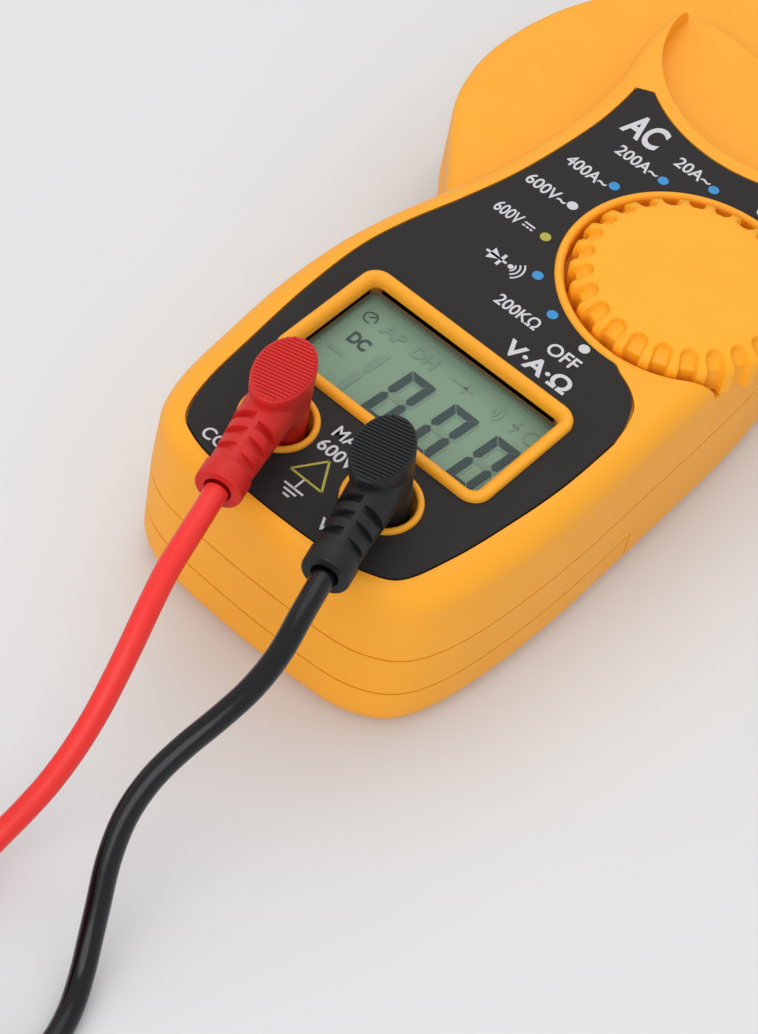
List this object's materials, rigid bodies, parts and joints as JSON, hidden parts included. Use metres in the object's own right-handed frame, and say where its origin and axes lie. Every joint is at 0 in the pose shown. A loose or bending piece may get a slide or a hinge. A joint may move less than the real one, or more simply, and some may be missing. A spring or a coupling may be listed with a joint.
{
  "type": "clamp meter",
  "caption": "Hand-held clamp meter with a hinged jaw and trigger, rotary range dial, display, and red and black test leads with probes, each put away in a coil.",
  "frame": {"origin": "on the flat back of the case, on its centreline and level with the dial", "axes": "+Z out of the front panel, +Y along the case towards the jaws, +X to the right as the panel is read"},
  "size_m": [0.0956, 0.3271, 0.043],
  "materials": {
    "shell": "satin orange ABS",
    "panel": "satin dark grey printed sheet",
    "window": "clear",
    "lcd": "grey-green liquid crystal cell",
    "board": "green solder mask",
    "black_plastic": "satin",
    "white_plastic": "satin",
    "rubber": "matt",
    "steel": "plated",
    "brass": "plain",
    "copper": null,
    "ferrite": "dark pressed core",
    "cell": "plain blue sleeve",
    "red_lead": "soft red PVC",
    "black_lead": "soft black PVC"
  },
  "bodies": {
    "case": {"front_cover": "shell", "rear_cover": "shell", "battery_cover": "shell", "fixed_jaw_front": "shell", "fixed_jaw_rear": "shell", "panel_label": "panel", "lcd_window": "window", "lcd_glass": "lcd", "circuit_board": "board", "controller_chip": "black_plastic", "capacitor": "black_plastic", "lcd_holder": "white_plastic", "trimmer": "white_plastic", "zebra_strip": "rubber", "coil_tie": "rubber", "hold_switch": "steel", "contact_link": "steel", "contact_positive": "steel", "contact_negative": "steel", "case_screw_1": "steel", "case_screw_2": "steel", "case_screw_3": "steel", "case_screw_4": "steel", "battery_cover_screw": "steel", "fixed_jaw_screw": "steel", "jaw_pivot_pin": "steel", "jaw_spring": "steel", "probe_tip_red": "steel", "probe_tip_black": "steel", "jack_socket_com": "brass", "jack_socket_input": "brass", "plug_pin_red": "brass", "plug_pin_black": "brass", "buzzer": "brass", "current_coil": "copper", "fixed_jaw_core": "ferrite", "battery_cell_1": "cell", "battery_cell_2": "cell", "ptc_thermistor": "cell", "plug_red": "red_lead", "cord_red": "red_lead", "coil_red": "red_lead", "cord_red_end": "red_lead", "probe_red": "red_lead", "plug_black": "black_lead", "cord_black": "black_lead", "coil_black": "black_lead", "cord_black_end": "black_lead", "probe_black": "black_lead"},
    "dial": {"dial_knob": "shell", "switch_rotor": "white_plastic", "contact_wiper": "copper", "detent_spring": "steel", "detent_ball": "steel"},
    "moving_jaw": {"moving_jaw_front": "shell", "moving_jaw_rear": "shell", "moving_jaw_core": "ferrite", "moving_jaw_screw": "steel"},
    "hold_button": {"hold_button": "shell"}
  },
  "joints": [
    {"name": "jaw_hinge", "type": "hinge", "parent": "case", "child": "moving_jaw", "pos_m": [-0.0125, 0.0435, 0.016], "axis": [0, 0, 1], "range_deg": [0, 24], "stiffness_Nm_per_rad": 0.5, "springref_deg": -34.38},
    {"name": "dial_turn", "type": "hinge", "parent": "case", "child": "dial", "pos_m": [0.0139, 0, 0.03], "axis": [0, 0, 1], "range_deg": [-104.4, 61.6]},
    {"name": "hold_press", "type": "slide", "parent": "case", "child": "hold_button", "axis": [0, 0, -1], "range_m": [0, 0.0005], "stiffness_N_per_m": 1500, "springref_m": -0.0003}
  ]
}
